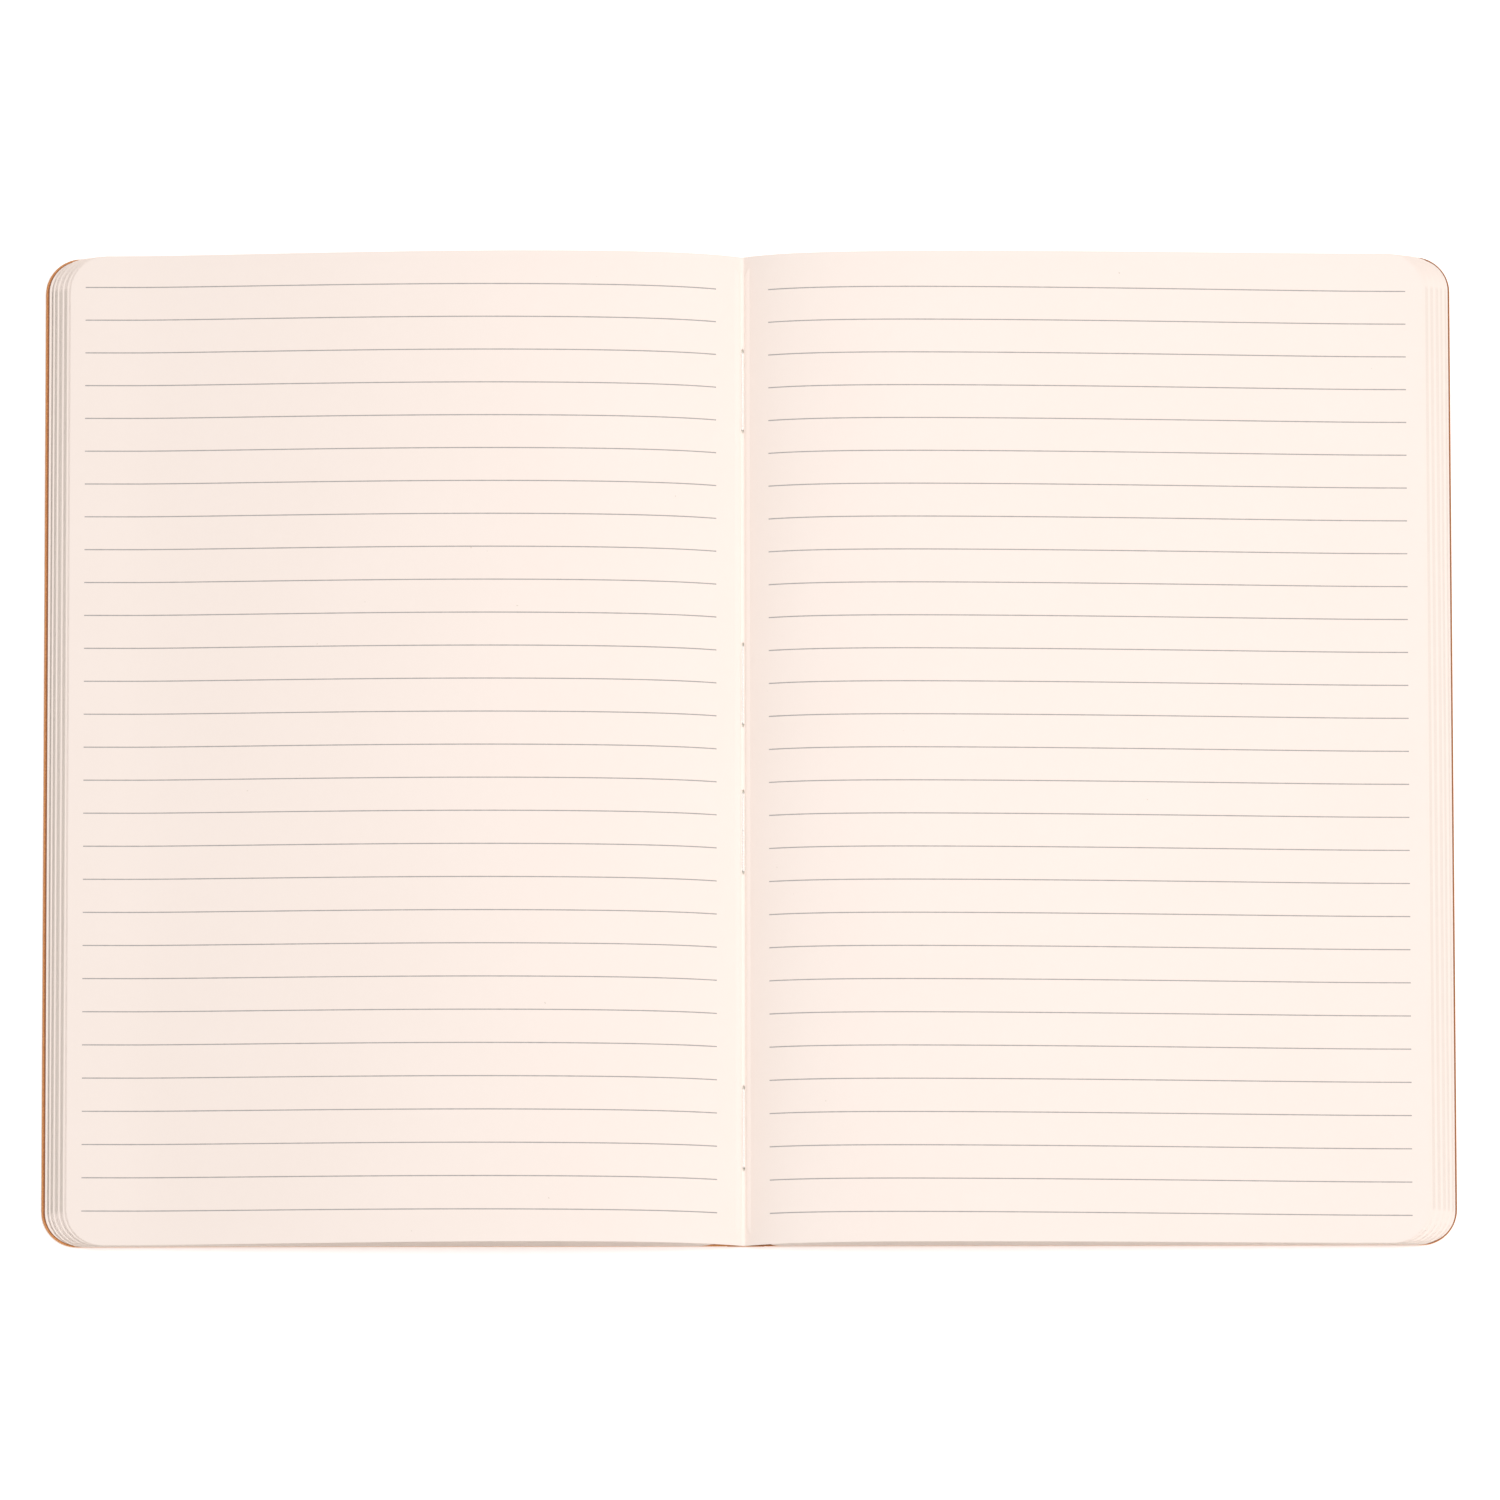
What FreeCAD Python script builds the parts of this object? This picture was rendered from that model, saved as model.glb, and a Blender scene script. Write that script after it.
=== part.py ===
# Open composition notebook: thread-sewn sections of ruled leaves in a soft wrap-around cover with rounded
# corners, lying open in the middle of one section, so that the sewing thread shows in the gutter.
# Millimetres. X runs across the spread, Y up the page and Z up. Front (-X) is the half that carries the
# front cover, back (+X) the other one. Everything is laid out from the middle of the spine. The origin of the
# finished pieces is on the table in the middle of the spread.
import FreeCAD
import Part
import math
import os
from FreeCAD import Vector

# Paper
leaf_width = 144.0          # from a section's fold to its fore edge, halfway through the block
trim_lean = 0.9             # the block leaned under the trimming knife: front leaves lose this, back leaves keep it
leaf_height = 210.0         # thirty lines of 7 mm ruling
leaf_thickness = 0.095
sheets_per_section = 4      # each sheet is folded once into two leaves
section_count = 10
open_section = 5            # counted from the front cover
corner_radius = 7.5

# Cover
cover_thickness = 0.6
front_rim = 0.85            # how far the cover shows past the lowest leaf
back_rim = 0.55
pastedown_thickness = 0.15
pastedown_inset = 0.35      # from the cover's edge
lining_thickness = 0.25
lining_inset = 5.0          # from head and tail
crease_allowance = 0.1      # on each side of the block, where the cover bends

# How the two piles of leaves arch when they lie open
front_arch = 6.4            # how much higher the top leaf is at its crest than at its fore edge
front_crest_reach = 48.0    # from the gutter to the crest
back_arch = 4.3
back_crest_reach = 40.0
flat_width = 16.5           # the stretch by the fore edge where the leaves lie flat
loose_share = 0.6           # part of the air under the arch that gathers between the sections
gap_start = 14.0            # from the fold, where neighbouring sections part
gap_stop = 16.0             # before the flat stretch, where they meet again
gap_spans = 5               # points along a gap, less one
shoulder_width = 0.6        # where the outermost leaf comes down from the spine onto the endpaper
back_sagitta = 0.12         # rounding of each section's folded back

# A leaf's line, in shares of its way up to the crest and of its way down from there
rise_lean = 0.17
rise_lift = 0.71
crest_lead = 0.46
crest_trail = 0.39
settling = 0.84

# Sewing thread
thread_diameter = 0.44
thread_seat = 0.02          # between the thread and the fold that it lies in
thread_sides = 6            # the strands give the thread an angular section
thread_bend = 0.45
hole_clearance = 0.14       # round the thread
fold_ease = 0.06            # from a hole to the edge of the rounded bottom of the fold
fold_rise = 0.14            # from the bottom of the fold to that edge
stitch_length = 16.4        # between the two holes of a stitch
stitch_stations = (0, 2, 3, 5)
head_margin = 20.5          # from the head to the first hole
tail_margin = 16.6          # from the last hole to the tail

# Worked out from the sizes above
leaves_per_section = 2 * sheets_per_section
section_thickness = leaves_per_section * leaf_thickness
half_section = section_thickness / 2
block_thickness = section_count * section_thickness
half_height = leaf_height / 2
crease_x = block_thickness / 2 + crease_allowance
bed_z = cover_thickness + pastedown_thickness
spine_z = cover_thickness + lining_thickness
gutter_z = spine_z + half_section + back_sagitta
thread_radius = thread_diameter / 2
hole_radius = thread_radius + hole_clearance
stitch_pitch = (leaf_height - head_margin - tail_margin - stitch_length) / max(stitch_stations)
fold_half_width = hole_radius + fold_ease

# The outermost fold lies this far from the middle, and its leaves reach furthest out
outer_fold_x = (section_count - 1) / 2 * section_thickness


def point(x, z, y=0.0):
    return Vector(x, y, z)


def fold_x(section):
    """Where a section's fold sits across the spine."""
    return (section - (section_count + 1) / 2) * section_thickness


class Pile:
    """The leaves on one side of the gutter, counted up from the cover in half sections."""

    def __init__(self, side, arch, crest_reach, rim):
        self.side = side
        self.arch = arch
        self.crest_reach = crest_reach
        self.rim = rim
        self.leaf_width = leaf_width + side * trim_lean
        self.flat_start_x = outer_fold_x + self.leaf_width - flat_width
        self.full_sections = open_section - 1 if side < 0 else section_count - open_section
        self.levels = 2 * self.full_sections + 1

    def section_at(self, level):
        """The section that the half section above this level belongs to."""
        from_cover = min(int(level) // 2, self.full_sections)
        return 1 + from_cover if self.side < 0 else section_count - from_cover

    def flat_z(self, level):
        return bed_z + level * half_section

    def crest_z(self, level):
        return self.flat_z(level) + self.arch * level / self.levels

    def curve(self, level, start):
        """A leaf's line from its start at the spine over the crest to the flat stretch."""
        crest_x = fold_x(open_section) + self.side * self.crest_reach
        end_x = self.side * self.flat_start_x
        crest_z = self.crest_z(level)
        flat_z = self.flat_z(level)
        rise_x = start.x + rise_lean * (crest_x - start.x)
        rise_z = start.z + rise_lift * (crest_z - start.z)
        top_x = start.x + crest_lead * (crest_x - start.x)
        over_x = crest_x + crest_trail * (end_x - crest_x)
        down_x = crest_x + settling * (end_x - crest_x)
        rise = Part.BezierCurve()
        rise.setPoles([start, point(rise_x, rise_z), point(top_x, crest_z), point(crest_x, crest_z)])
        fall = Part.BezierCurve()
        fall.setPoles([point(crest_x, crest_z), point(over_x, crest_z), point(down_x, flat_z), point(end_x, flat_z)])
        return rise, fall

    def fold_start(self, level):
        """Where the line at this level leaves the spine."""
        section = self.section_at(level)
        return point(fold_x(section), spine_z + half_section * (level % 2))

    def top_start(self):
        return point(fold_x(open_section) + self.side * fold_half_width, gutter_z + fold_rise)

    def fore_edge_x(self, level):
        """Where the leaves of the half section above this level end, from their own length."""
        rise, fall = self.curve(level + 0.5, self.fold_start(level))
        left_over = self.leaf_width - rise.length() - fall.length()
        return self.side * (self.flat_start_x + left_over)

    def gap_height(self):
        return self.arch / (self.full_sections + 0.5) * loose_share

    def gap(self, level):
        """The lens of air between the sections below and above this level."""
        rise, fall = self.curve(level, self.fold_start(level))
        first = fold_x(open_section) + self.side * gap_start
        last = self.side * (self.flat_start_x - gap_stop)
        lower = []
        upper = []
        for i in range(gap_spans + 1):
            share = i / gap_spans
            x = first + share * (last - first)
            z = height_at(rise, fall, x)
            half = self.gap_height() / 2 * math.sin(math.pi * share)
            lower.append(point(x, z - half))
            upper.append(point(x, z + half))
        edges = []
        for line in (lower, upper):
            spline = Part.BSplineCurve()
            spline.interpolate(line)
            edges.append(spline.toShape())
        return Part.Wire(edges)


def height_at(rise, fall, x):
    """Height of a leaf's line at a place across the page."""
    for curve in (rise, fall):
        start = curve.value(0).x
        end = curve.value(1).x
        if min(start, end) <= x <= max(start, end):
            low = 0.0
            high = 1.0
            for _ in range(40):
                middle = (low + high) / 2
                if (curve.value(middle).x - start) / (end - start) < (x - start) / (end - start):
                    low = middle
                else:
                    high = middle
            return curve.value(low).z
    raise ValueError("no leaf line passes here")


front_pile = Pile(-1, front_arch, front_crest_reach, front_rim)
back_pile = Pile(1, back_arch, back_crest_reach, back_rim)


def spine_backs():
    """The rounded backs of the folded sections, side by side from front to back."""
    arcs = []
    for section in range(1, section_count + 1):
        middle = fold_x(section)
        near = point(middle - half_section, spine_z + back_sagitta)
        far = point(middle + half_section, spine_z + back_sagitta)
        arcs.append(Part.Arc(near, point(middle, spine_z), far).toShape())
    return arcs


def arched_leaves():
    """Both piles between their flat stretches: one outline with a lens of air between the sections."""
    edges = []
    for pile in (front_pile, back_pile):
        rise, fall = pile.curve(pile.levels, pile.top_start())
        edges += [rise.toShape(), fall.toShape()]
        top = point(pile.side * pile.flat_start_x, pile.flat_z(pile.levels))
        bed = point(pile.side * pile.flat_start_x, bed_z)
        heel = point(pile.side * (crease_x + shoulder_width), bed_z)
        back = point(pile.side * block_thickness / 2, spine_z + back_sagitta)
        edges += [Part.makeLine(top, bed), Part.makeLine(bed, heel), Part.makeLine(heel, back)]
    near, far = front_pile.top_start(), back_pile.top_start()
    edges.append(Part.Arc(near, point(fold_x(open_section), gutter_z), far).toShape())
    edges += spine_backs()
    outline = Part.Wire(Part.__sortEdges__(edges))
    gaps = []
    for pile in (front_pile, back_pile):
        for section in range(1, pile.full_sections + 1):
            gaps.append(pile.gap(2 * section))
    face = Part.Face([outline] + gaps)
    face.translate(Vector(0, -half_height, 0))
    return face.extrude(Vector(0, leaf_height, 0))


def rounded_plate(inner_x, outer_x, height, radius, bottom_z, thickness):
    """A flat plate from one X to another, rounded at its two outer corners."""
    side = 1 if outer_x > inner_x else -1
    half = height / 2
    shoulder_x = outer_x - side * radius
    sweep = radius * (1 - math.sqrt(0.5))
    corner = [
        Vector(inner_x, -half, 0),
        Vector(shoulder_x, -half, 0),
        Vector(outer_x - side * sweep, -half + sweep, 0),
        Vector(outer_x, -half + radius, 0),
        Vector(outer_x, half - radius, 0),
        Vector(outer_x - side * sweep, half - sweep, 0),
        Vector(shoulder_x, half, 0),
        Vector(inner_x, half, 0),
    ]
    edges = [
        Part.makeLine(corner[0], corner[1]),
        Part.Arc(corner[1], corner[2], corner[3]).toShape(),
        Part.makeLine(corner[3], corner[4]),
        Part.Arc(corner[4], corner[5], corner[6]).toShape(),
        Part.makeLine(corner[6], corner[7]),
        Part.makeLine(corner[7], corner[0]),
    ]
    face = Part.Face(Part.Wire(edges))
    face.translate(Vector(0, 0, bottom_z))
    return face.extrude(Vector(0, 0, thickness))


def fore_edge_steps(pile):
    """The flat stretches of one pile, half section by half section, each ending where its leaves end."""
    steps = []
    for level in range(pile.levels):
        steps.append(rounded_plate(
            pile.side * pile.flat_start_x, pile.fore_edge_x(level), leaf_height, corner_radius,
            pile.flat_z(level), half_section))
    return steps


def stitch_holes():
    """Height along the fold of the two holes of each stitch."""
    holes = []
    for station in stitch_stations:
        upper = half_height - head_margin - station * stitch_pitch
        holes.append((upper, upper - stitch_length))
    return holes


def make_pages():
    """The whole text block, with the needle holes through the open fold."""
    block = arched_leaves()
    block = block.multiFuse(fore_edge_steps(front_pile) + fore_edge_steps(back_pile))
    needles = []
    needle_length = gutter_z + fold_rise + 2 * hole_radius - cover_thickness
    for pair in stitch_holes():
        for y in pair:
            foot = point(fold_x(open_section), cover_thickness, y)
            needles.append(Part.makeCylinder(hole_radius, needle_length, foot))
    block = block.cut(Part.makeCompound(needles))
    return block.removeSplitter()


def make_stitch(upper_y, lower_y):
    """One stitch: down into the fold at both ends, where it meets the lining."""
    x = fold_x(open_section)
    run_z = gutter_z + thread_seat + thread_radius
    corner = thread_bend * (1 - math.sqrt(0.5))
    path = Part.Wire([
        Part.makeLine(point(x, spine_z, upper_y), point(x, run_z - thread_bend, upper_y)),
        Part.Arc(point(x, run_z - thread_bend, upper_y), point(x, run_z - corner, upper_y - corner),
                 point(x, run_z, upper_y - thread_bend)).toShape(),
        Part.makeLine(point(x, run_z, upper_y - thread_bend), point(x, run_z, lower_y + thread_bend)),
        Part.Arc(point(x, run_z, lower_y + thread_bend), point(x, run_z - corner, lower_y + corner),
                 point(x, run_z - thread_bend, lower_y)).toShape(),
        Part.makeLine(point(x, run_z - thread_bend, lower_y), point(x, spine_z, lower_y)),
    ])
    rim = []
    for i in range(thread_sides + 1):
        angle = 2 * math.pi * (i + 0.5) / thread_sides
        rim.append(point(x + thread_radius * math.cos(angle), spine_z, upper_y + thread_radius * math.sin(angle)))
    return path.makePipeShell([Part.makePolygon(rim)], True, True)


def make_sewing_thread():
    return Part.makeCompound([make_stitch(*pair) for pair in stitch_holes()])


def cover_edge_x(pile):
    return pile.fore_edge_x(0) + pile.side * pile.rim


def make_cover(pile):
    """One cover board, from its crease to its rim."""
    return rounded_plate(pile.side * crease_x, cover_edge_x(pile), leaf_height, corner_radius, 0, cover_thickness)


def make_pastedown(pile):
    """The endpaper glued inside a cover, a little short of its rim."""
    return rounded_plate(
        pile.side * crease_x, cover_edge_x(pile) - pile.side * pastedown_inset,
        leaf_height - 2 * pastedown_inset, corner_radius - pastedown_inset, cover_thickness, pastedown_thickness)


def make_spine_cover():
    return Part.makeBox(2 * crease_x, leaf_height, cover_thickness, Vector(-crease_x, -half_height, 0))


def make_spine_lining():
    return Part.makeBox(
        block_thickness, leaf_height - 2 * lining_inset, lining_thickness,
        Vector(-block_thickness / 2, -half_height + lining_inset, cover_thickness))


pieces = {
    "pages": make_pages(),
    "sewing_thread": make_sewing_thread(),
    "front_cover": make_cover(front_pile),
    "back_cover": make_cover(back_pile),
    "front_pastedown": make_pastedown(front_pile),
    "back_pastedown": make_pastedown(back_pile),
    "spine_cover": make_spine_cover(),
    "spine_lining": make_spine_lining(),
}
spread_middle_x = (cover_edge_x(front_pile) + cover_edge_x(back_pile)) / 2
os.makedirs("parts", exist_ok=True)
for name, shape in pieces.items():
    shape.translate(Vector(-spread_middle_x, 0, 0))
    shape.exportStep("parts/" + name + ".step")
    box = shape.BoundBox
    print(f"{name}: {len(shape.Solids)} solid, {shape.Volume:.1f} mm3, valid {shape.isValid()}, "
          f"X {box.XMin:.2f} {box.XMax:.2f}, Y {box.YMin:.2f} {box.YMax:.2f}, Z {box.ZMin:.2f} {box.ZMax:.2f}")
print("middle of the spread, from the middle of the spine:", round(spread_middle_x, 3))
for pile in (front_pile, back_pile):
    print("fore edges:", [round(pile.fore_edge_x(level), 2) for level in range(pile.levels)])
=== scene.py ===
# Open notebook: sewn leaves, stitches, leather cover, studio
import bpy
import math
import random
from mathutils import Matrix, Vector


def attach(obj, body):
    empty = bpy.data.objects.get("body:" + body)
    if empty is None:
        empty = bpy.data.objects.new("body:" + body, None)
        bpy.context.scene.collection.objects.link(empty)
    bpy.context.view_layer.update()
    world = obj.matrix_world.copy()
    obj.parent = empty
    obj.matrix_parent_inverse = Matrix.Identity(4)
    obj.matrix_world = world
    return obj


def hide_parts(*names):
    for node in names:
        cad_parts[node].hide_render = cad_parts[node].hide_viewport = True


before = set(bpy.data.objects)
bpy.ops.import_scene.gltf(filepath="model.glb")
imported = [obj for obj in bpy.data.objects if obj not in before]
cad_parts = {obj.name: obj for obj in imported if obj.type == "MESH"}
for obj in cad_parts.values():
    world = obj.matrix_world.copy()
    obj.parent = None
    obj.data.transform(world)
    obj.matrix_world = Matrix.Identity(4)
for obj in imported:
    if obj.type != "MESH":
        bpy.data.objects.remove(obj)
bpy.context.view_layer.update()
random.seed(11)

# Lengths in the dictionaries of shapes are millimetres; finished pieces are scaled to metres
metre = 0.001
smoothAngle = math.radians(35)
cutMerge = 0.0001                   # a cut this close to a corner uses the corner

block = {
    "leafHeight": 209.9,
    "leafWidth": 144,               # of the flat template, before each leaf gets its own length
    "sheetThickness": 0.082,        # less than the pitch, so that air shows between leaves
    "leafPitch": 0.095,
    "sheetsPerSection": 4,
    "sectionCount": 10,
    "openSection": 5,
    "cornerRadius": 7.5,
    "cornerSteps": 7,
    "bedZ": 0.75,
    "spineZ": 0.85,
    "gutterZ": 1.35,
    "foldHalfWidth": 0.42,
    "foldRise": 0.14,
    "foldGap": 0.02,                # between a sheet's fold and the turn above it
    "spreadMiddle": 0.751,          # from the middle of the spine, where the solids were laid out
    "shoulder": 0.095,              # share of the rise, along its curve, where the leaves leave the spine
    "play": 0.045,                  # a leaf lies this much nearer to the head or the tail at most
    "shortfall": 0.05,              # a leaf ends this much before its place at most
}
block["halfSection"] = block["sheetsPerSection"] * block["leafPitch"]
block["gutterX"] = (block["openSection"] - (block["sectionCount"] + 1) / 2) * 2 * block["halfSection"]

piles = {
    "front": {
        "side": -1,
        "arch": 6.4,
        "crestReach": 48.0,
        "gather": 0.40,             # half the air between two sections at the crest
        "flatStart": 130.02,
        "levels": 9,                # half sections in the pile, the open one's half on top
        # where the lowest and the top leaf of each section end, from the cover up
        "leafEdges": ((146.10, 145.80), (145.42, 144.90), (144.50, 143.84), (143.42, 142.82), (142.36, 142.02)),
    },
    "back": {
        "side": 1,
        "arch": 4.3,
        "crestReach": 40.0,
        "gather": 0.22,
        "flatStart": 131.82,
        "levels": 11,
        "leafEdges": ((148.20, 147.86), (147.36, 146.92), (146.44, 145.90), (145.36, 144.78), (144.20, 143.66),
                      (143.26, 142.94)),
    },
}

# The leaves' curves; a value without a note is a handle's share of its span's run or height
curves = {
    "riseStart": (0.17, 0.71),
    "riseEnd": 0.46,
    "fallStart": 0.39,
    "fallEnd": 0.84,
    "bend": 0.6,
    "lift": 0.55,
    "lead": 0.5,
    "dipMiddle": 0.5,
    "dipLean": 0.35,
    "nestDrop": 1.25,               # an open sheet leaves the gutter this many times its depth lower
    "calmLeaves": 2.5,              # leaves over which the gathering fades at a pile's top and bottom
    "resolution": 48,               # steps of a curve between two knots
    "lengthSteps": 200,             # steps in which a curve is measured
}


def only(obj):
    bpy.ops.object.select_all(action="DESELECT")
    obj.select_set(True)
    bpy.context.view_layer.objects.active = obj
    return obj


def named(name):
    obj = bpy.context.object
    obj.name = name
    obj.data.name = name
    return obj


def applyAll(obj):
    only(obj)
    for modifier in list(obj.modifiers):
        bpy.ops.object.modifier_apply(modifier=modifier.name)
    return obj


# Millimetres to metres, then onto its body
def finished(obj, body, node):
    only(obj)
    obj.location.x = -block["spreadMiddle"] * metre
    obj.scale = (metre, metre, metre)
    bpy.ops.object.transform_apply(location=True, rotation=True, scale=True)
    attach(obj, body)
    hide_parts(node)
    print("made", obj.name, len(obj.data.polygons), "faces")
    return obj


def joined(objs, name):
    bpy.ops.object.select_all(action="DESELECT")
    for obj in objs:
        obj.select_set(True)
    bpy.context.view_layer.objects.active = objs[0]
    bpy.ops.object.join()
    return named(name)


# Cuts across everything at each place along an axis
def cutAcross(places, axis):
    for place in places:
        bpy.ops.mesh.select_all(action="SELECT")
        bpy.ops.mesh.bisect(plane_co=[place * share for share in axis], plane_no=axis, threshold=cutMerge)


def mix(a, b, share):
    return (a[0] + (b[0] - a[0]) * share, a[1] + (b[1] - a[1]) * share)


# The two halves of a cubic curve, cut at a share of its run
def splitAt(poles, share):
    a, b, c, d = poles
    ab, bc, cd = mix(a, b, share), mix(b, c, share), mix(c, d, share)
    abc, bcd = mix(ab, bc, share), mix(bc, cd, share)
    middle = mix(abc, bcd, share)
    return (a, ab, abc, middle), (middle, bcd, cd, d)


# Poles of the top leaf's line from the fold to the crest
def topRise(pile):
    side = pile["side"]
    start = (block["gutterX"] + side * block["foldHalfWidth"], block["gutterZ"] + block["foldRise"])
    crest = (block["gutterX"] + side * pile["crestReach"],
             block["bedZ"] + pile["levels"] * block["halfSection"] + pile["arch"])
    rise = crest[1] - start[1]
    reach = crest[0] - start[0]
    across, up = curves["riseStart"]
    return (start, (start[0] + across * reach, start[1] + up * rise),
            (start[0] + curves["riseEnd"] * reach, crest[1]), crest)


# Poles of one leaf's line beyond the shoulder, its rise and its fall; place counts up from the cover
def pileLine(pile, count, place):
    share = (place + 0.5) / count
    inSection = 2 * block["sheetsPerSection"]
    along = ((place % inSection) + 0.5) / inSection * 2 - 1
    calm = curves["calmLeaves"]
    pull = -along * pile["gather"] * min(1.0, (count - 0.5 - place) / calm) * min(1.0, (place + 0.5) / calm)
    bed = block["bedZ"]
    _, far = splitAt(topRise(pile), block["shoulder"])
    rise = [(x, bed + share * (z - bed)) for x, z in far]
    rise[2] = (rise[2][0], rise[2][1] + pull)
    rise[3] = (rise[3][0], rise[3][1] + pull)
    crest = rise[3]
    flat = (pile["side"] * pile["flatStart"], bed + share * pile["levels"] * block["halfSection"])
    run = flat[0] - crest[0]
    fall = [crest, (crest[0] + curves["fallStart"] * run, crest[1]),
            (crest[0] + curves["fallEnd"] * run, flat[1]), flat]
    return rise, fall


def curveLength(poles):
    length = 0.0
    last = poles[0]
    for i in range(1, curves["lengthSteps"] + 1):
        t = i / curves["lengthSteps"]
        u = 1 - t
        shares = (u**3, 3 * u * u * t, 3 * u * t * t, t**3)
        spot = [sum(share * pole[axis] for share, pole in zip(shares, poles)) for axis in (0, 1)]
        length += math.dist(last, spot)
        last = spot
    return length


def chainLength(pieces):
    return sum(curveLength(poles) for poles in pieces)


# A Bezier curve object with its knots still to be set
def emptyCurve(name, knots, resolution):
    bpy.ops.curve.primitive_bezier_curve_add(location=(0, 0, 0))
    obj = named(name)
    obj.data.dimensions = "3D"
    obj.data.twist_mode = "MINIMUM"
    obj.data.resolution_u = resolution
    points = obj.data.splines[0].bezier_points
    points.add(knots - len(points))
    for knot in points:
        knot.handle_left_type = knot.handle_right_type = "FREE"
    return obj


# A Bezier curve object through a chain of cubic pieces
def drawLine(pieces, name):
    obj = emptyCurve(name, len(pieces) + 1, curves["resolution"])
    for i, knot in enumerate(obj.data.splines[0].bezier_points):
        before = pieces[i - 1] if i else None
        after = pieces[i] if i < len(pieces) else None
        spot = after[0] if after else before[3]
        left = before[2] if before else mix(spot, after[1], -1)
        right = after[1] if after else mix(spot, before[2], -1)
        knot.co = (spot[0], 0, spot[1])
        knot.handle_left = (left[0], 0, left[1])
        knot.handle_right = (right[0], 0, right[1])
    return obj


# A flat sheet from X 0 to its width with two or four rounded corners, cut into columns and rows
def flatSheet(name, width, columns, rows, corners):
    bpy.ops.mesh.primitive_plane_add(size=1, location=(width / 2, 0, 0))
    obj = named(name)
    obj.scale = (width, block["leafHeight"], 1)
    bpy.ops.object.transform_apply(location=True, rotation=False, scale=True)
    for vertex in obj.data.vertices:
        vertex.select = (vertex.co.x > width / 2) or corners == 4
    bpy.ops.object.mode_set(mode="EDIT")
    bpy.ops.mesh.select_mode(type="VERT")
    bpy.ops.mesh.bevel(offset=block["cornerRadius"], segments=block["cornerSteps"], profile=0.5,
                       affect="VERTICES")
    cutAcross(columns, (1, 0, 0))
    cutAcross(rows, (0, 1, 0))
    bpy.ops.object.mode_set(mode="OBJECT")
    return obj


# A copy of the flat sheet, laid along a line between two distances and given its thickness
def bent(template, name, line, first, last, width):
    obj = template.copy()
    obj.data = template.data.copy()
    obj.name = name
    bpy.context.collection.objects.link(obj)
    only(obj)
    obj.location = (first, random.uniform(-block["play"], block["play"]), 0)
    obj.scale = ((last - first) / width, 1, 1)
    bpy.ops.object.transform_apply(location=True, rotation=False, scale=True)
    along = obj.modifiers.new("along", "CURVE")
    along.object = line
    along.deform_axis = "POS_X"
    wall = obj.modifiers.new("wall", "SOLIDIFY")
    wall.thickness = block["sheetThickness"]
    wall.offset = 0
    applyAll(obj)
    bpy.data.objects.remove(line)
    return obj


# Distances from the fold at which a leaf is cut, close together where it bends
leafColumns = (0.06, 0.14, 0.24, 0.36, 0.5, 0.7, 0.95, 1.25, 1.6, 2.0, 2.5, 3.1, 3.8, 4.6, 5.5, 6.5, 7.6, 9, 10.5,
               12.2, 14, 16.5, 19.5, 23, 27, 31, 35, 39, 43, 47, 51, 55, 59, 64, 69, 74, 79, 84, 89, 94, 99, 104,
               109, 114, 119, 124, 129, 133)


# The closed sections of one pile, as single leaves that start at their section's fold
def makePile(name, pile, template):
    side = pile["side"]
    inSection = 2 * block["sheetsPerSection"]
    pitch = block["leafPitch"]
    count = pile["levels"] * block["sheetsPerSection"]
    outerFold = (block["sectionCount"] - 1) * block["halfSection"]
    leaves = []
    for place in range(count - block["sheetsPerSection"]):
        section = place // inSection
        inner = place % inSection
        nest = min(inner, inSection - 1 - inner)                    # 0 for the outermost sheet
        foldX = side * (outerFold - section * 2 * block["halfSection"])
        rise, fall = pileLine(pile, count, place)
        hand = 1 if inner >= inSection / 2 else -1                  # which half of its fold the leaf is
        away = -side * hand * (inSection / 2 - 0.5 - nest) * pitch
        fold = (foldX, block["spineZ"] + (nest + 0.5) * pitch)
        turn = (foldX + away, fold[1] + abs(away) + block["foldGap"])
        shoulder = rise[0]
        slope = (rise[1][1] - rise[0][1]) / (rise[1][0] - rise[0][0])
        gap = (shoulder[0] - turn[0]) * curves["lead"]
        lift = max(block["foldGap"], curves["lift"] * (shoulder[1] - turn[1]))
        bend = (fold, (fold[0] + curves["bend"] * away, fold[1]),
                (turn[0], turn[1] - curves["bend"] * (turn[1] - fold[1])), turn)
        spread = (turn, (turn[0], turn[1] + lift), (shoulder[0] - gap, shoulder[1] - gap * slope), shoulder)
        pieces = [bend, spread, rise, fall]
        line = drawLine(pieces, "leafLine")
        lowest, highest = pile["leafEdges"][section]
        edge = lowest + (highest - lowest) * inner / (inSection - 1) - random.uniform(0, block["shortfall"])
        length = chainLength(pieces) + edge - pile["flatStart"]
        leaves.append(bent(template, name + "Leaf", line, 0, length, block["leafWidth"]))
    print(name, len(leaves), "leaves")
    return joined(leaves, name)


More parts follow.
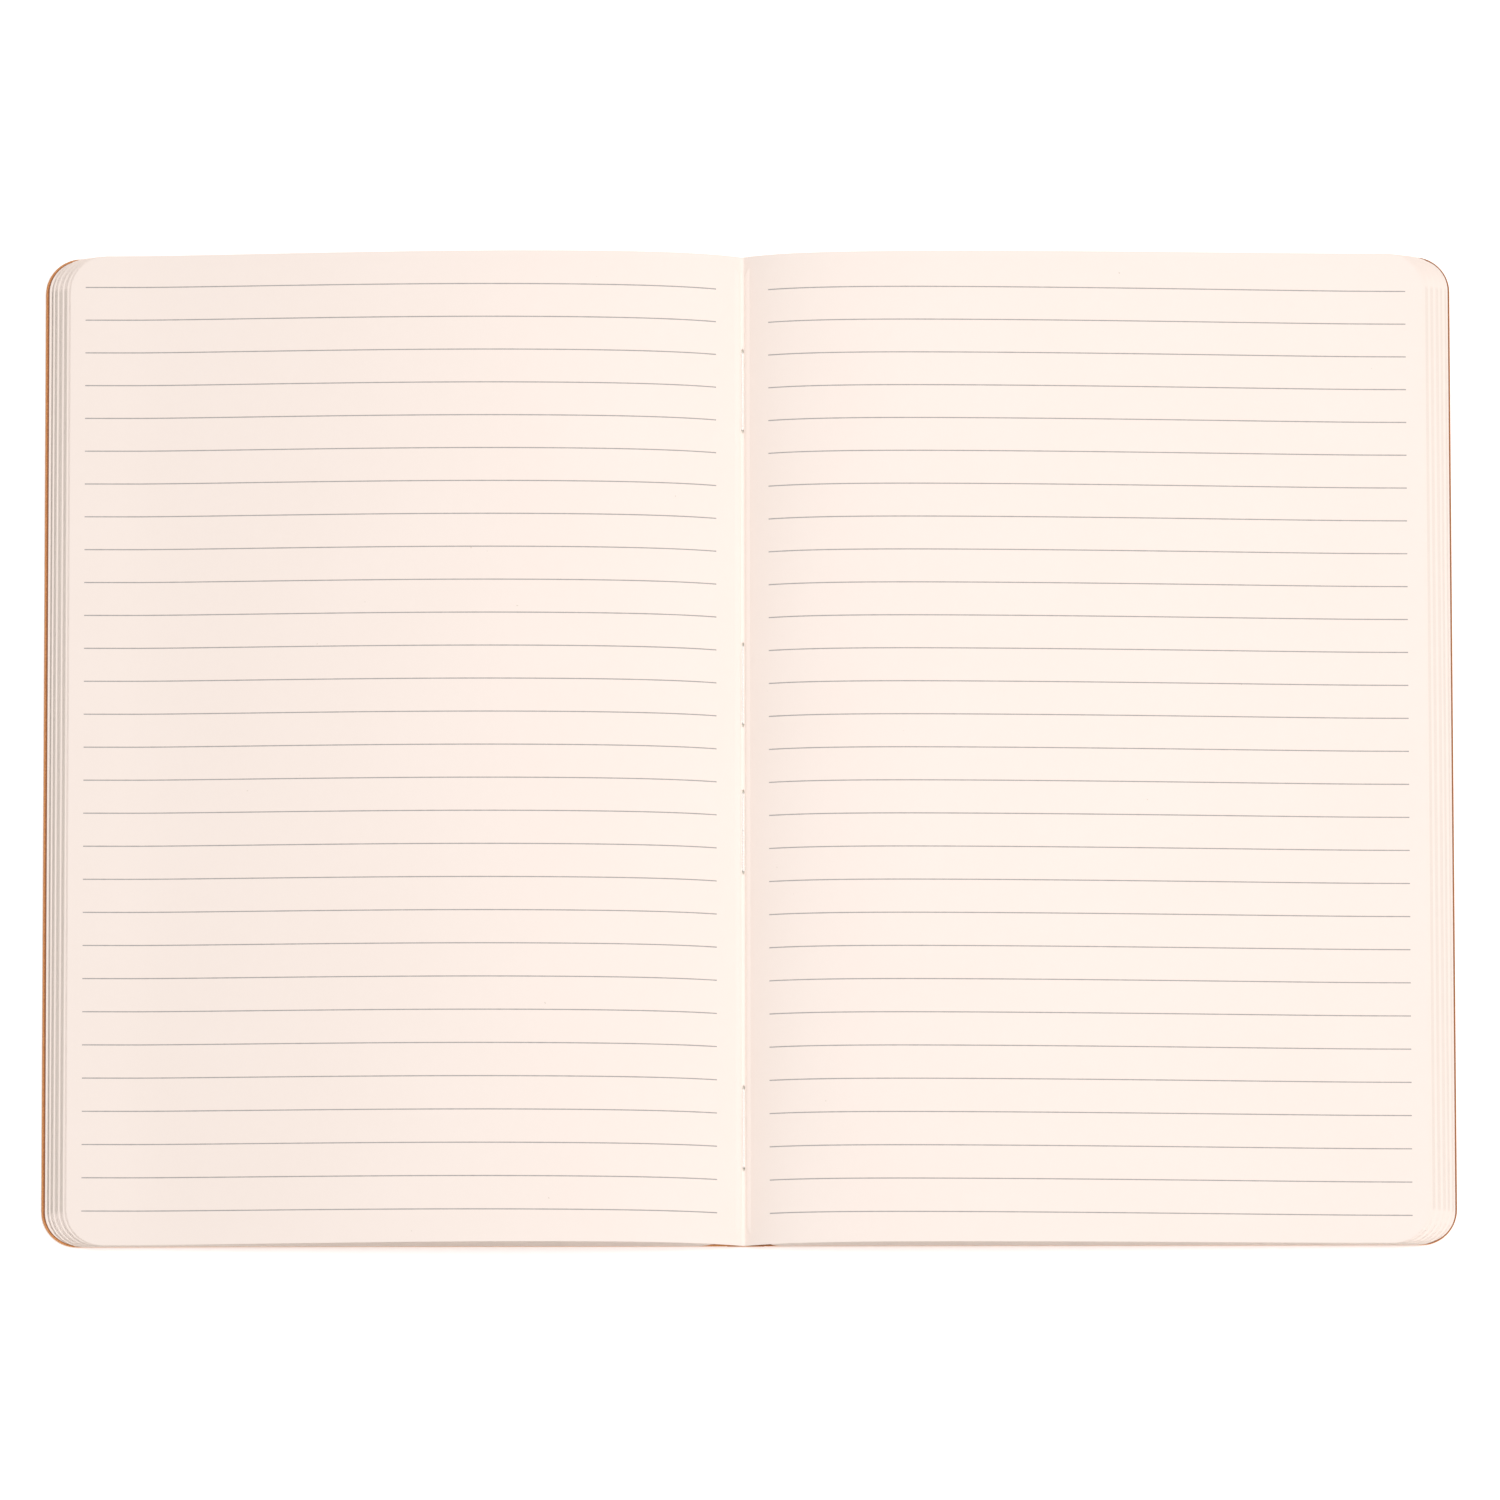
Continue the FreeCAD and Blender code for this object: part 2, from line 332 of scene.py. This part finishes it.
# The four nested sheets of the open section, each running through the gutter
def makeOpenSheets(template):
    sheets = []
    gutterX = block["gutterX"]
    for nest in range(block["sheetsPerSection"]):
        halves = []
        ends = []
        fold = (gutterX, block["gutterZ"] - (nest + 0.5) * block["leafPitch"])
        for pile in (piles["front"], piles["back"]):
            count = pile["levels"] * block["sheetsPerSection"]
            near, _ = splitAt(topRise(pile), block["shoulder"])
            rise, fall = pileLine(pile, count, count - 1 - nest)
            drop = (nest + 0.5) * block["leafPitch"] * curves["nestDrop"]
            start = (near[0][0], near[0][1] - drop)
            hill = (near[1][0], near[1][1] - drop)
            steep = (near[1][1] - near[0][1]) / (near[1][0] - near[0][0])
            slope = (rise[1][1] - rise[0][1]) / (rise[1][0] - rise[0][0])
            before = (near[2][0], rise[0][1] - (rise[0][0] - near[2][0]) * slope)
            reach = start[0] - fold[0]
            lean = curves["dipLean"] * reach
            dip = (fold, (fold[0] + curves["dipMiddle"] * reach, fold[1]),
                   (start[0] - lean, start[1] - lean * steep), start)
            halves.append([dip, (start, hill, before, rise[0]), rise, fall])
            lowest, highest = pile["leafEdges"][-1]
            edge = highest + (lowest - highest) * nest / (block["sheetsPerSection"] - 1)
            ends.append(edge - pile["flatStart"])
        front, back = halves
        backwards = [tuple(reversed(poles)) for poles in reversed(front)]
        line = drawLine(backwards + back, "sheetLine")
        last = chainLength(backwards) + chainLength(back) + ends[1]
        sheets.append(bent(template, "openSheet", line, -ends[0], last, 2 * block["leafWidth"]))
    print("openSheets", len(sheets), "sheets")
    return joined(sheets, "openSheets")


thread = {
    "strand": 0.105,                # radius of one ply
    "strandCorners": 10,
    "strandSteps": 130,
    "spread": 0.088,                # of a ply from the middle of the thread
    "pitch": 1.1,                   # of the twist
    "seat": 0.225,                  # middle of the thread above the bottom of the fold
    "bend": 0.45,
    "quarter": 0.55,                # handle of a quarter circle, as a share of its radius
    "straight": (0.3, 0.05),        # handle of a straight span, as a share of it, and the shortest span
    "resolution": 24,
    "foot": 0.9,
    "stitches": ((84.5, 68.1), (21.9, 5.5), (-9.4, -25.8), (-72.0, -88.4)),
    "hole": (0.26, 0.56),
    "holeCorners": 16,
    "holeDepth": 3,
    "holeZ": 1.2,
    "holeShift": 0.27,              # each slit runs on past its end of the stitch
    "holeRows": 1.1,                # rows cut into the sheets this far on both sides of a slit
}


# Narrow slits in the fold where the thread goes down
def makeNeedleHoles(sheets):
    drills = []
    for upper, lower in thread["stitches"]:
        for y in (upper + thread["holeShift"], lower - thread["holeShift"]):
            bpy.ops.mesh.primitive_cylinder_add(
                vertices=thread["holeCorners"], radius=1, depth=thread["holeDepth"],
                location=(block["gutterX"], y, thread["holeZ"]))
            drill = named("drill")
            drill.scale = (thread["hole"][0], thread["hole"][1], 1)
            bpy.ops.object.transform_apply(location=True, rotation=False, scale=True)
            drills.append(drill)
    drill = joined(drills, "drill")
    cut = sheets.modifiers.new("holes", "BOOLEAN")
    cut.operation = "DIFFERENCE"
    cut.solver = "EXACT"
    cut.use_self = True
    cut.object = drill
    applyAll(sheets)
    bpy.data.objects.remove(drill)
    return sheets


# Two twisted plies a stitch, bent down into the fold at both ends
def makeStitches():
    parts = []
    x = block["gutterX"]
    top = block["gutterZ"] + thread["seat"]
    bend = thread["bend"]
    foot = thread["foot"]
    curl = thread["quarter"] * bend
    share, shortest = thread["straight"]
    pulls = ((0, 0, 1), (0, 0, 1), (0, -1, 0), (0, -1, 0), (0, 0, -1), (0, 0, -1))
    for upper, lower in thread["stitches"]:
        spots = [(x, upper, foot), (x, upper, top - bend), (x, upper - bend, top), (x, lower + bend, top),
                 (x, lower, top - bend), (x, lower, foot)]
        length = 2 * (top - bend - foot) + math.pi * bend + (upper - lower - 2 * bend)
        plies = []
        for side in (-1, 1):
            bpy.ops.mesh.primitive_cylinder_add(
                vertices=thread["strandCorners"], radius=thread["strand"], depth=length, end_fill_type="NGON",
                location=(length / 2, side * thread["spread"], 0), rotation=(0, math.pi / 2, 0))
            plies.append(named("ply"))
            bpy.ops.object.transform_apply(location=True, rotation=True, scale=True)
            bpy.ops.object.mode_set(mode="EDIT")
            steps = thread["strandSteps"]
            cutAcross([length * i / steps for i in range(1, steps)], (1, 0, 0))
            bpy.ops.object.mode_set(mode="OBJECT")
        ply = joined(plies, "ply")
        line = emptyCurve("threadLine", len(spots), thread["resolution"])
        for i, (knot, spot, pull) in enumerate(zip(line.data.splines[0].bezier_points, spots, pulls)):
            before = curl if i in (2, 4) else share * max(shortest, math.dist(spot, spots[max(0, i - 1)]))
            after = curl if i in (1, 3) else share * max(shortest, math.dist(spot, spots[min(5, i + 1)]))
            knot.co = spot
            knot.handle_left = Vector(spot) - before * Vector(pull)
            knot.handle_right = Vector(spot) + after * Vector(pull)
        only(ply)
        twist = ply.modifiers.new("twist", "SIMPLE_DEFORM")
        twist.deform_method = "TWIST"
        twist.deform_axis = "X"
        twist.angle = 2 * math.pi * length / thread["pitch"]
        along = ply.modifiers.new("along", "CURVE")
        along.object = line
        along.deform_axis = "POS_X"
        applyAll(ply)
        bpy.ops.object.shade_smooth()
        bpy.data.objects.remove(line)
        parts.append(ply)
    return joined(parts, "stitches")


cover = {
    "height": 209.9,
    "bottom": 0.0,
    "thickness": 0.6,
    "creaseX": 3.9,
    "edgeRadius": 0.16,
    "cornerRadius": 7.5,
    "rims": {"front": -147.36, "back": 148.86},
}

pastedown = {
    "height": 209.0,
    "bottom": 0.6,
    "thickness": 0.145,
    "edgeRadius": 0.03,
    "cornerRadius": 6.8,
    "rims": {"front": -146.60, "back": 148.48},
}

boardShape = {
    "cornerSteps": 14,
    "edgeSteps": 4,
    "edgeAngle": math.radians(50),
    "evenWeight": 100,
    "near": 0.01,                   # two places this close are the same
}


# A cover board or its glued endpaper, with rounded corners and soft edges
def makeBoard(name, sizes, inner, outer):
    bpy.ops.mesh.primitive_cube_add(
        size=1, location=((inner + outer) / 2, 0, sizes["bottom"] + sizes["thickness"] / 2))
    obj = named(name)
    obj.scale = (abs(outer - inner), sizes["height"], sizes["thickness"])
    bpy.ops.object.transform_apply(location=True, rotation=False, scale=True)
    bpy.ops.object.mode_set(mode="EDIT")
    bpy.ops.mesh.select_mode(type="EDGE")
    bpy.ops.mesh.select_all(action="DESELECT")
    bpy.ops.object.mode_set(mode="OBJECT")
    near = boardShape["near"]
    for edge in obj.data.edges:
        a, b = (obj.data.vertices[i].co for i in edge.vertices)
        edge.select = abs(a.x - outer) < near and abs(b.x - outer) < near and abs(a.y - b.y) < near
    bpy.ops.object.mode_set(mode="EDIT")
    bpy.ops.mesh.bevel(offset=sizes["cornerRadius"], segments=boardShape["cornerSteps"], profile=0.5,
                       affect="EDGES")
    bpy.ops.object.mode_set(mode="OBJECT")
    soft = obj.modifiers.new("soft", "BEVEL")
    soft.width = sizes["edgeRadius"]
    soft.segments = boardShape["edgeSteps"]
    soft.limit_method = "ANGLE"
    soft.angle_limit = boardShape["edgeAngle"]
    applyAll(obj)
    bpy.ops.object.shade_smooth_by_angle(angle=smoothAngle)
    even = obj.modifiers.new("even", "WEIGHTED_NORMAL")
    even.keep_sharp = True
    even.weight = boardShape["evenWeight"]
    return applyAll(obj)


# A node socket that takes part in sums
class Wire:
    def __init__(self, tree, socket=None):
        self.tree = tree
        self.socket = socket

    def node(self, kind, settings=None, sockets=None, out=0):
        made = self.tree.nodes.new("ShaderNode" + kind)
        for key, value in (settings or {}).items():
            setattr(made, key, value)
        for key, value in (sockets or {}).items():
            if isinstance(value, Wire):
                self.tree.links.new(value.socket, made.inputs[key])
            else:
                made.inputs[key].default_value = value
        return Wire(self.tree, made.outputs[out]) if len(made.outputs) else None

    def outlet(self, out):
        return Wire(self.tree, self.socket.node.outputs[out])

    def maths(self, operation, first, second=0.0):
        return self.node("Math", {"operation": operation}, {0: first, 1: second})

    def __add__(self, other):
        return self.maths("ADD", self, other)

    def __radd__(self, other):
        return self.maths("ADD", other, self)

    def __sub__(self, other):
        return self.maths("SUBTRACT", self, other)

    def __rsub__(self, other):
        return self.maths("SUBTRACT", other, self)

    def __mul__(self, other):
        return self.maths("MULTIPLY", self, other)

    def __rmul__(self, other):
        return self.maths("MULTIPLY", other, self)

    def __truediv__(self, other):
        return self.maths("DIVIDE", self, other)

    def __rtruediv__(self, other):
        return self.maths("DIVIDE", other, self)

    def __gt__(self, other):
        return self.maths("GREATER_THAN", self, other)

    def __lt__(self, other):
        return self.maths("LESS_THAN", self, other)

    def __abs__(self):
        return self.maths("ABSOLUTE", self)

    # colour a where this is 0, colour b where it is 1
    def blend(self, a, b):
        return self.node("Mix", {"data_type": "RGBA"}, {"Factor": self, 6: a, 7: b}, 2)

    # the first of a pair where this is 0, the second where it is 1
    def choose(self, pair):
        return self * (pair[1] - pair[0]) + pair[0]

    def xyz(self):
        split = self.node("SeparateXYZ", None, {0: self})
        return split, split.outlet(1), split.outlet(2)

    # how far the surface faces up, from -1 to 1
    def upward(self):
        return self.node("NewGeometry", out="Normal").xyz()[2]

    def noise(self, scale, detail=2.0, rough=0.5):
        return self.node("TexNoise", {"noise_dimensions": "3D"},
                         {"Vector": self, "Scale": scale, "Detail": detail, "Roughness": rough})


def newMaterial(name):
    material = bpy.data.materials.new(name)
    material.use_nodes = True
    material.node_tree.nodes.clear()
    return material, Wire(material.node_tree).node("TexCoord", out="Object")


# The shader of a material; height goes through a bump node with a strength and a depth in metres
def surface(material, place, sockets, height=None, bump=None):
    if height is not None:
        strength, depth = bump
        sockets["Normal"] = place.node("Bump", None, {"Strength": strength, "Distance": depth, "Height": height})
    shader = place.node("BsdfPrincipled", None, sockets)
    place.node("OutputMaterial", None, {"Surface": shader})
    return material


# Looks, with lengths in metres. A noise is given by its scale, detail and roughness, and an uneven
# value by its base and what the noise adds to it
paper = {
    "ivory": (0.960, 0.842, 0.775, 1),
    "shade": (0.945, 0.825, 0.755, 1),
    "cloud": (38, 3),
    "fibre": (2600, 4, 0.6),
    "mottle": (420,),
    "tone": (0.5, 0.25, 0.25),      # shares of the cloud, the fibre and the mottle
    "toneMiddle": 0.38,
    "toneGain": 2.6,
    "fleck": (0.62, 0.52, 0.42, 1),
    "fleckTint": 0.55,
    "speck": (900, 1),
    "speckLevel": 0.815,
    "rare": (110, 1),
    "rareLevel": 0.62,
    # painted shade: leaning cut-edge faces are darkened, as the shade between stacked sheets would darken them
    "cutEdgeShade": (0.74, 0.665, 0.60, 1),
    "level": 0.35,                  # a face that leans more than this is a cut edge
    "foreEdgeShade": (0.64, 0.575, 0.505, 1),      # painted shade in a strip along the fore edge of the lower leaves
    "edgeShadeShare": 0.00062,         # of a leaf's width
    "edgeShadeTint": (0.50, 0.24),     # how strong the painted shade is on the left and on the right pile
    "rule": (0.385, 0.355, 0.345, 1),
    "ruleWidth": 0.00023,
    "ruleUneven": (0.8, 0.4),
    "ruleGrain": (700, 1),
    "ink": (0.86, 0.2),
    "inkGrain": (3000,),
    "spacing": 0.007,
    "middleLine": 100.5,            # whole spacings that keep the pattern positive, and half of one
    "lastLine": 0.0985,
    "leftRule": (-0.1396, -0.0067),
    "rightRule": (0.0043, 0.1386),
    "drops": (0.00041, 0.00049),    # of the ruling, on the left and on the right page
    "slant": 0.005,                 # the ruling isn't quite square to the pages
    "foldX": -0.00113,
    "roughness": (0.76, 0.14),
    "shine": 0.3,
    "relief": (0.6, 0.8),           # of the fibre and the mottle
    "bump": (0.25, 0.00003),
}


def paperMaterial(name, ruled):
    material, place = newMaterial(name)
    cloud = place.noise(*paper["cloud"])
    fibre = place.noise(*paper["fibre"])
    mottle = place.noise(*paper["mottle"])
    a, b, c = paper["tone"]
    tone = (cloud * a + fibre * b + mottle * c - paper["toneMiddle"]) * paper["toneGain"]
    color = tone.blend(paper["shade"], paper["ivory"])
    speck = place.noise(*paper["speck"]) > paper["speckLevel"]
    rare = place.noise(*paper["rare"]) > paper["rareLevel"]
    color = (speck * rare * paper["fleckTint"]).blend(color, paper["fleck"])
    upward = place.upward()
    # painted shade on the cut edges: faces that lean get a darker colour
    color = (abs(upward) < paper["level"]).blend(color, paper["cutEdgeShade"])
    if ruled:
        x, y, z = place.xyz()
        y = y + (x - paper["foldX"]) * paper["slant"] + (x > paper["foldX"]).choose(paper["drops"])
        step = y.maths("FRACT", y / paper["spacing"] + paper["middleLine"])
        off = abs(step - 0.5) * paper["spacing"]
        base, uneven = paper["ruleUneven"]
        line = off < 0.5 * paper["ruleWidth"] * (base + uneven * place.noise(*paper["ruleGrain"]))
        high = abs(y) < paper["lastLine"]
        left = (x > paper["leftRule"][0]) * (x < paper["leftRule"][1])
        right = (x > paper["rightRule"][0]) * (x < paper["rightRule"][1])
        base, uneven = paper["ink"]
        strength = base + uneven * place.noise(*paper["inkGrain"])
        ink = line * high * (left + right) * (upward > paper["level"]) * strength
        color = ink.blend(color, paper["rule"])
    else:
        # painted shade in a strip along each closed leaf's fore edge, stronger on the left pile, away from the
        # light
        along = place.node("UVMap", {"uv_map": "UVMap"}).xyz()[0]
        tint = (place.xyz()[0] > 0.0).choose(paper["edgeShadeTint"])
        color = ((along > 1 - paper["edgeShadeShare"]) * tint).blend(color, paper["foreEdgeShade"])
    base, uneven = paper["roughness"]
    sockets = {"Base Color": color, "Roughness": base + fibre * uneven, "Specular IOR Level": paper["shine"]}
    fine, coarse = paper["relief"]
    return surface(material, place, sockets, fibre * fine + mottle * coarse, paper["bump"])


leather = {
    "dark": (0.53, 0.175, 0.04, 1),
    "light": (0.69, 0.26, 0.068, 1),
    "cloud": (60, 3),
    "cloudGain": 1.1,
    "cloudShift": 0.05,
    "groove": (0.38, 0.115, 0.026, 1),
    "grooveTint": 0.8,
    "cellScale": 1500,
    "cellGain": 5,
    "fine": (5200, 3),
    "half": (0.148111, 0.10495),    # of the cover, along and across the spread
    "corner": 0.0075,
    "wearAndHighlight": (0.70, 0.31, 0.10, 1),  # paler along the outer edge: rubbed wear, with a painted highlight on the rounded edge
    "wearHighlightWidth": 0.00030,
    "wearHighlightUneven": (0.7, 0.6),
    "wearHighlightGrain": (260, 3),
    "wearHighlightTint": (0.45, 0.4),
    "glueLineShade": (0.27, 0.085, 0.022, 1),        # dark line where the endpaper is glued down: glue line with painted shade along the endpaper's edge
    "shadeLineStart": (0.00042, 0.00009),        # in from the outer edge, on the left and on the right
    "shadeLineTint": 0.9,
    "level": 0.5,                   # a face that leans less than this is the cover's inside
    "roughness": (0.58, 0.12, 0.08),
    "shine": 0.45,
    "relief": (0.8, 0.25),          # of the pebbles and the fine grain
    "bump": (0.5, 0.00006),
}


def leatherMaterial():
    material, place = newMaterial("orangeLeather")
    cells = place.node("TexVoronoi", {"feature": "DISTANCE_TO_EDGE"},
                       {"Vector": place, "Scale": leather["cellScale"], "Randomness": 1.0})
    pebble = cells.maths("MINIMUM", cells * leather["cellGain"], 1.0)
    fine = place.noise(*leather["fine"])
    cloud = place.noise(*leather["cloud"])
    color = (cloud * leather["cloudGain"] - leather["cloudShift"]).blend(leather["dark"], leather["light"])
    color = (pebble * leather["grooveTint"] + (1 - leather["grooveTint"])).blend(leather["groove"], color)
    x, y, z = place.xyz()
    awayX = x.maths("MAXIMUM", abs(x) - (leather["half"][0] - leather["corner"]), 0.0)
    awayY = y.maths("MAXIMUM", abs(y) - (leather["half"][1] - leather["corner"]), 0.0)
    inside = leather["corner"] - x.maths("SQRT", awayX * awayX + awayY * awayY)
    # paler band along the outer edge: rubbed wear and a painted highlight on the rounded edge
    base, uneven = leather["wearHighlightUneven"]
    edge = inside < leather["wearHighlightWidth"] * (base + uneven * place.noise(*leather["wearHighlightGrain"]))
    base, uneven = leather["wearHighlightTint"]
    color = (edge * (base + uneven * fine)).blend(color, leather["wearAndHighlight"])
    # dark line beside the endpaper's edge on the cover's inside: glue line and painted shade
    start = (x > 0.0).choose(leather["shadeLineStart"])
    above = place.upward() > leather["level"]
    color = ((inside > start) * above * leather["shadeLineTint"]).blend(color, leather["glueLineShade"])
    base, smooth, rough = leather["roughness"]
    sockets = {"Base Color": color, "Roughness": base - pebble * smooth + fine * rough,
               "Specular IOR Level": leather["shine"]}
    coarse, small = leather["relief"]
    return surface(material, place, sockets, pebble * coarse + fine * small, leather["bump"])


whiteThread = {
    "dark": (0.93, 0.92, 0.89, 1),
    "light": (0.99, 0.985, 0.97, 1),
    "fuzz": (9000, 3),
    "cloud": (600,),
    "tone": (0.7, 0.3),             # shares of the cloud and the fuzz
    "roughness": (0.74, 0.16),
    "shine": 0.25,
    "bump": (0.35, 0.00003),
}


def threadMaterial():
    material, place = newMaterial("whiteThread")
    fuzz = place.noise(*whiteThread["fuzz"])
    cloud = place.noise(*whiteThread["cloud"])
    broad, narrow = whiteThread["tone"]
    color = (cloud * broad + fuzz * narrow).blend(whiteThread["dark"], whiteThread["light"])
    base, uneven = whiteThread["roughness"]
    sockets = {"Base Color": color, "Roughness": base + fuzz * uneven,
               "Specular IOR Level": whiteThread["shine"]}
    return surface(material, place, sockets, fuzz, whiteThread["bump"])


gauze = {
    "hole": (0.66, 0.60, 0.48, 1),
    "strand": (0.90, 0.87, 0.79, 1),
    "weave": 4200,
    "glue": (0.78, 0.70, 0.52, 1),
    "glueGrain": (500, 3),
    "glueTint": 0.5,
    "roughness": (0.9, 0.25),
    "shine": 0.2,
    "glueRelief": 0.3,
    "bump": (0.5, 0.00012),
}


def gauzeMaterial():
    material, place = newMaterial("spineGauze")
    x, y, z = place.xyz()
    warp = abs(x.maths("SINE", x * gauze["weave"]))
    weft = abs(y.maths("SINE", y * gauze["weave"]))
    weave = warp.maths("MAXIMUM", warp, weft)
    glue = place.noise(*gauze["glueGrain"])
    color = weave.blend(gauze["hole"], gauze["strand"])
    color = (glue * gauze["glueTint"]).blend(color, gauze["glue"])
    base, shiny = gauze["roughness"]
    sockets = {"Base Color": color, "Roughness": base - glue * shiny, "Specular IOR Level": gauze["shine"]}
    return surface(material, place, sockets, weave + glue * gauze["glueRelief"], gauze["bump"])


studio = {
    "focal": 15216,                 # pixels of the 1500 px frame
    "frameWidth": 1500,
    "sensor": 36,
    "distance": 3.193,
    "elevation": 81.59,
    "roll": -0.095,
    "target": (0.00032, -0.00074, 0.00535),
    "clip": 20,
    "world": 0.28,
    "lamps": {                      # place, size, watts
        "overheadLight": ((0.11, 0.18, 0.90), 0.5, 4.4),
        "keyLight": ((0.60, 0.10, 1.55), 0.5, 5.3),
        "frontLight": ((0.10, -1.30, 0.55), 1.0, 8.5),
    },
    "floorSize": 6,
    "floorZ": -0.0001,
    "floorTones": ((0.94, 0.94, 0.94, 1), (0.96, 0.96, 0.96, 1)),
    "floorScale": 4,
    "floorRoughness": 0.9,
    "floorShine": 0.1,
    "floorGlow": 0.34,
}


def floorMaterial():
    material, place = newMaterial("floorWhite")
    color = place.noise(studio["floorScale"]).blend(*studio["floorTones"])
    sockets = {"Base Color": color, "Roughness": studio["floorRoughness"],
               "Specular IOR Level": studio["floorShine"], "Emission Color": (1, 1, 1, 1),
               "Emission Strength": studio["floorGlow"]}
    return surface(material, place, sockets)


def dress(obj, material):
    obj.data.materials.clear()
    obj.data.materials.append(material)


def makeStudio():
    bpy.ops.mesh.primitive_plane_add(size=studio["floorSize"], location=(0, 0, studio["floorZ"]))
    floor = named("floor")
    dress(floor, floorMaterial())

    world = bpy.data.worlds.new("studioWorld")
    bpy.context.scene.world = world
    world.use_nodes = True
    sky = world.node_tree.nodes["Background"]
    sky.inputs["Color"].default_value = (1, 1, 1, 1)
    sky.inputs["Strength"].default_value = studio["world"]

    for name, (place, size, power) in studio["lamps"].items():
        bpy.ops.object.light_add(type="AREA", location=place)
        lamp = named(name)
        lamp.data.size = size
        lamp.data.energy = power
        lamp.rotation_euler = Vector(place).to_track_quat("Z", "Y").to_euler()

    tilt = math.radians(studio["elevation"])
    target = Vector(studio["target"])
    eye = target + studio["distance"] * Vector((0, -math.cos(tilt), math.sin(tilt)))
    bpy.ops.object.camera_add(location=eye)
    camera = named("camera")
    camera.data.sensor_width = studio["sensor"]
    camera.data.lens = studio["sensor"] * studio["focal"] / studio["frameWidth"]
    camera.data.clip_end = studio["clip"]
    camera.rotation_euler = (eye - target).to_track_quat("Z", "Y").to_euler()
    camera.rotation_euler.rotate_axis("Z", math.radians(studio["roll"]))
    bpy.context.scene.camera = camera
    bpy.context.scene.view_settings.view_transform = "Standard"


# Pieces
leafWidth = block["leafWidth"]
sheetColumns = sorted({round(leafWidth + side * x, 2) for x in leafColumns for side in (-1, 1)} | {leafWidth})
slitRows = [y + side * thread["holeRows"] for pair in thread["stitches"] for y in pair for side in (-1, 1)]
leafTemplate = flatSheet("leafTemplate", leafWidth, leafColumns, (), 2)
frontLeaves = makePile("frontLeaves", piles["front"], leafTemplate)
backLeaves = makePile("backLeaves", piles["back"], leafTemplate)
sheetTemplate = flatSheet("sheetTemplate", 2 * leafWidth, sheetColumns, slitRows, 4)
openSheets = makeNeedleHoles(makeOpenSheets(sheetTemplate))
for template in (leafTemplate, sheetTemplate):
    bpy.data.objects.remove(template)
for piece in (frontLeaves, backLeaves, openSheets):
    only(piece)
    bpy.ops.object.shade_smooth_by_angle(angle=smoothAngle)
    finished(piece, "block", "pages")

stitches = finished(makeStitches(), "block", "sewing_thread")
boards = {}
for side, inner in (("front", -cover["creaseX"]), ("back", cover["creaseX"])):
    board = makeBoard(side + "Board", cover, inner, cover["rims"][side])
    boards[side] = finished(board, side, side + "_cover")
    board = makeBoard(side + "Pastedown", pastedown, inner, pastedown["rims"][side])
    boards[side + "Inside"] = finished(board, side, side + "_pastedown")

# Finishes
ruledPaper = paperMaterial("ruledPaper", True)
plainPaper = paperMaterial("plainPaper", False)
orangeLeather = leatherMaterial()
dress(openSheets, ruledPaper)
for obj in (frontLeaves, backLeaves, boards["frontInside"], boards["backInside"]):
    dress(obj, plainPaper)
dress(stitches, threadMaterial())
for obj in (boards["front"], boards["back"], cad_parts["spine_cover"]):
    dress(obj, orangeLeather)
dress(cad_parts["spine_lining"], gauzeMaterial())
print("finishes done")

makeStudio()
print("studio done")
